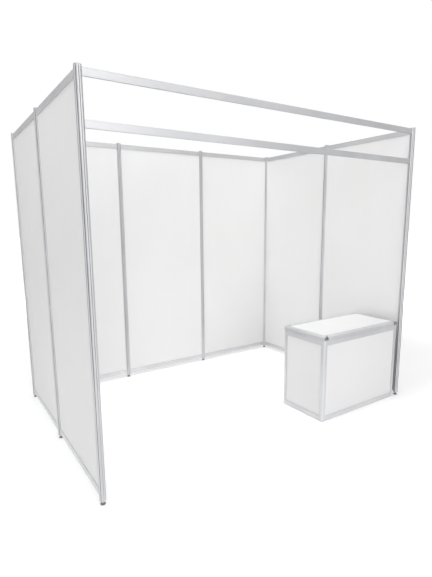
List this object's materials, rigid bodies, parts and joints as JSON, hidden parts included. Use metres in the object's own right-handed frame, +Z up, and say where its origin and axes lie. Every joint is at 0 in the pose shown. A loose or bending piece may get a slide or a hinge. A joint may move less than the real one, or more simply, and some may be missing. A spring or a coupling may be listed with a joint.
{
  "type": "modular exhibition stand wall",
  "caption": "Open-fronted exhibition stand wall of grooved aluminium uprights, lockable beams and white panels, with an empty fascia frame and a matching counter with sliding doors.",
  "frame": {"origin": "on the floor, in the middle of the rectangle that the eight uprights enclose", "axes": "+X to the right along the open front as a visitor sees it, +Y from the open front to the back wall, +Z up"},
  "size_m": [3.01, 2.02, 2.5],
  "materials": {
    "anodised_aluminium": "satin natural anodised extrusion",
    "white_panel": "matt white laminated panel",
    "white_board": "matt white laminated board",
    "lock_steel": "zinc plated steel",
    "foot_grey": "moulded dark grey foot on a steel stud",
    "pull_grey": "moulded light grey pull"
  },
  "bodies": {
    "frame_and_panels": {"upright_front_left": "anodised_aluminium", "upright_mid_left": "anodised_aluminium", "upright_back_left": "anodised_aluminium", "upright_back_inner_left": "anodised_aluminium", "upright_back_inner_right": "anodised_aluminium", "upright_back_right": "anodised_aluminium", "upright_mid_right": "anodised_aluminium", "upright_front_right": "anodised_aluminium", "panel_left_front": "white_panel", "panel_left_rear": "white_panel", "panel_back_left": "white_panel", "panel_back_middle": "white_panel", "panel_back_right": "white_panel", "panel_right_rear": "white_panel", "panel_right_front": "white_panel", "top_beam_left_front": "anodised_aluminium", "top_beam_left_rear": "anodised_aluminium", "top_beam_back_left": "anodised_aluminium", "top_beam_back_middle": "anodised_aluminium", "top_beam_back_right": "anodised_aluminium", "top_beam_right_rear": "anodised_aluminium", "top_beam_right_front": "anodised_aluminium", "bottom_beam_left_front": "anodised_aluminium", "bottom_beam_left_rear": "anodised_aluminium", "bottom_beam_back_left": "anodised_aluminium", "bottom_beam_back_middle": "anodised_aluminium", "bottom_beam_back_right": "anodised_aluminium", "bottom_beam_right_rear": "anodised_aluminium", "bottom_beam_right_front": "anodised_aluminium", "fascia_beam_upper": "anodised_aluminium", "fascia_beam_lower": "anodised_aluminium", "beam_locks": "lock_steel", "lock_cams": "lock_steel", "counter_post_front_left": "anodised_aluminium", "counter_post_front_right": "anodised_aluminium", "counter_post_rear_left": "anodised_aluminium", "counter_post_rear_right": "anodised_aluminium", "counter_long_bottom_beams": "anodised_aluminium", "counter_short_bottom_beams": "anodised_aluminium", "counter_long_top_beams": "anodised_aluminium", "counter_short_top_beams": "anodised_aluminium", "counter_rim_long": "anodised_aluminium", "counter_rim_short": "anodised_aluminium", "counter_front_panel": "white_panel", "counter_side_panels": "white_panel", "counter_top_board": "white_board", "counter_base_board": "white_board", "counter_door_tracks": "anodised_aluminium"},
    "foot_front_left": {"foot_front_left": "foot_grey"},
    "foot_mid_left": {"foot_mid_left": "foot_grey"},
    "foot_back_left": {"foot_back_left": "foot_grey"},
    "foot_back_inner_left": {"foot_back_inner_left": "foot_grey"},
    "foot_back_inner_right": {"foot_back_inner_right": "foot_grey"},
    "foot_back_right": {"foot_back_right": "foot_grey"},
    "foot_mid_right": {"foot_mid_right": "foot_grey"},
    "foot_front_right": {"foot_front_right": "foot_grey"},
    "door_left": {"counter_door_left": "white_panel", "finger_pull_left": "pull_grey"},
    "door_right": {"counter_door_right": "white_panel", "finger_pull_right": "pull_grey"}
  },
  "joints": [
    {"name": "level_front_left", "type": "slide", "parent": "frame_and_panels", "child": "foot_front_left", "axis": [0, 0, -1], "range_m": [0, 0.02]},
    {"name": "level_mid_left", "type": "slide", "parent": "frame_and_panels", "child": "foot_mid_left", "axis": [0, 0, -1], "range_m": [0, 0.02]},
    {"name": "level_back_left", "type": "slide", "parent": "frame_and_panels", "child": "foot_back_left", "axis": [0, 0, -1], "range_m": [0, 0.02]},
    {"name": "level_back_inner_left", "type": "slide", "parent": "frame_and_panels", "child": "foot_back_inner_left", "axis": [0, 0, -1], "range_m": [0, 0.02]},
    {"name": "level_back_inner_right", "type": "slide", "parent": "frame_and_panels", "child": "foot_back_inner_right", "axis": [0, 0, -1], "range_m": [0, 0.02]},
    {"name": "level_back_right", "type": "slide", "parent": "frame_and_panels", "child": "foot_back_right", "axis": [0, 0, -1], "range_m": [0, 0.02]},
    {"name": "level_mid_right", "type": "slide", "parent": "frame_and_panels", "child": "foot_mid_right", "axis": [0, 0, -1], "range_m": [0, 0.02]},
    {"name": "level_front_right", "type": "slide", "parent": "frame_and_panels", "child": "foot_front_right", "axis": [0, 0, -1], "range_m": [0, 0.02]},
    {"name": "slide_door_left", "type": "slide", "parent": "frame_and_panels", "child": "door_left", "axis": [1, 0, 0], "range_m": [0, 0.443]},
    {"name": "slide_door_right", "type": "slide", "parent": "frame_and_panels", "child": "door_right", "axis": [-1, 0, 0], "range_m": [0, 0.443]}
  ]
}
